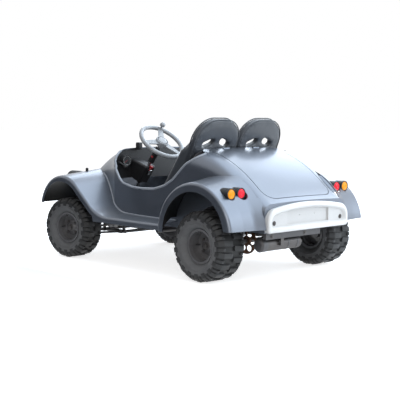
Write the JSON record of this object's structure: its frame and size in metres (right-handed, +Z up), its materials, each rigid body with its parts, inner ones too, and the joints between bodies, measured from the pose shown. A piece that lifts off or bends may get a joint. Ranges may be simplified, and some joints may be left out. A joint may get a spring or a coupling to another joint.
{
  "type": "utility terrain vehicle",
  "caption": "Small open two-seat off-road buggy with a vintage roadster body, running boards, steered front wheels, live rear axle and hinged tail lid.",
  "frame": {"origin": "on the ground below the middle of the overall box", "axes": "+X forward, +Y to the driver's left, +Z up"},
  "size_m": [2.185, 1.35, 1.0494],
  "materials": {
    "paint": "satin",
    "silver": "satin",
    "black_plastic": "matte",
    "grey_plastic": "satin",
    "red_lens": "gloss",
    "amber_lens": "gloss",
    "clear_lens": "gloss",
    "frame_black": "satin",
    "steel": "satin",
    "rusty_steel": "matte",
    "cast_alloy": "matte",
    "seat_vinyl": "satin",
    "tyre": "matte",
    "rim_black": "satin"
  },
  "bodies": {
    "chassis": {"nose_panel": "paint", "grille": "black_plastic", "cowl": "paint", "side_panel_left": "paint", "side_panel_right": "paint", "tail_shell": "paint", "front_fender_left": "paint", "front_fender_right": "paint", "rear_fender_left": "paint", "rear_fender_right": "paint", "rear_panel": "silver", "lamp_housings": "black_plastic", "red_lenses": "red_lens", "amber_lenses": "amber_lens", "headlamp_shells": "black_plastic", "headlamp_lenses": "clear_lens", "fender_markers": "black_plastic", "floor_pan": "frame_black", "firewall": "frame_black", "dashboard": "black_plastic", "column_cover": "black_plastic", "shift_lever": "black_plastic", "pedals": "steel", "seat_left": "seat_vinyl", "seat_right": "seat_vinyl", "chassis_frame": "frame_black", "rear_bar": "frame_black", "engine": "cast_alloy", "muffler": "steel", "swing_arm": "frame_black", "rear_shocks": "steel", "brake_caliper": "cast_alloy", "chain": "steel", "control_arms": "frame_black", "front_shocks": "steel", "rack_housing": "cast_alloy"},
    "steering_wheel": {"steering_wheel": "grey_plastic"},
    "steering_rack": {"steering_rack": "steel"},
    "knuckle_left": {"knuckle_left": "cast_alloy"},
    "knuckle_right": {"knuckle_right": "cast_alloy"},
    "wheel_front_left": {"tyre_front_left": "tyre", "rim_front_left": "rim_black"},
    "wheel_front_right": {"tyre_front_right": "tyre", "rim_front_right": "rim_black"},
    "rear_axle": {"rear_axle": "steel", "brake_disc": "rusty_steel", "sprocket": "steel", "tyre_rear_left": "tyre", "tyre_rear_right": "tyre", "rim_rear_left": "rim_black", "rim_rear_right": "rim_black"},
    "tail_lid": {"tail_lid": "paint"}
  },
  "joints": [
    {"name": "steering", "type": "hinge", "parent": "chassis", "child": "steering_wheel", "pos_m": [0.1125, 0.22, 0.87], "axis": [-0.6361, 0, 0.7716], "range_deg": [-111.52, 51.52]},
    {"name": "steer_left", "type": "hinge", "parent": "chassis", "child": "knuckle_left", "pos_m": [0.7575, 0.44, 0.224], "axis": [0, 0, 1], "range_deg": [-34.3, 15.9]},
    {"name": "steer_right", "type": "hinge", "parent": "chassis", "child": "knuckle_right", "pos_m": [0.7575, -0.44, 0.224], "axis": [0, 0, 1], "range_deg": [-34.3, 15.9]},
    {"name": "rack_slide", "type": "slide", "parent": "chassis", "child": "steering_rack", "axis": [0, 1, 0], "range_m": [-0.0245, 0.0525]},
    {"name": "rear_axle_spin", "type": "hinge", "parent": "chassis", "child": "rear_axle", "pos_m": [-0.7075, 0, 0.23], "axis": [0, 1, 0], "continuous": true},
    {"name": "tail_lid_hinge", "type": "hinge", "parent": "chassis", "child": "tail_lid", "pos_m": [-0.467, 0, 0.838], "axis": [0, 1, 0], "range_deg": [0, 65]},
    {"name": "wheel_left_spin", "type": "hinge", "parent": "knuckle_left", "child": "wheel_front_left", "pos_m": [0.74071, 0.54365, 0.224], "axis": [-0.1599, 0.9871, 0], "continuous": true},
    {"name": "wheel_right_spin", "type": "hinge", "parent": "knuckle_right", "child": "wheel_front_right", "pos_m": [0.77429, -0.54365, 0.224], "axis": [-0.1599, 0.9871, 0], "continuous": true}
  ],
  "couplings": [
    {"joint": "steer_left", "follows": "steering", "ratio": 0.30667},
    {"joint": "steer_right", "follows": "steering", "ratio": 0.30667},
    {"joint": "rack_slide", "follows": "steering", "m_per_rad": -0.026741}
  ]
}
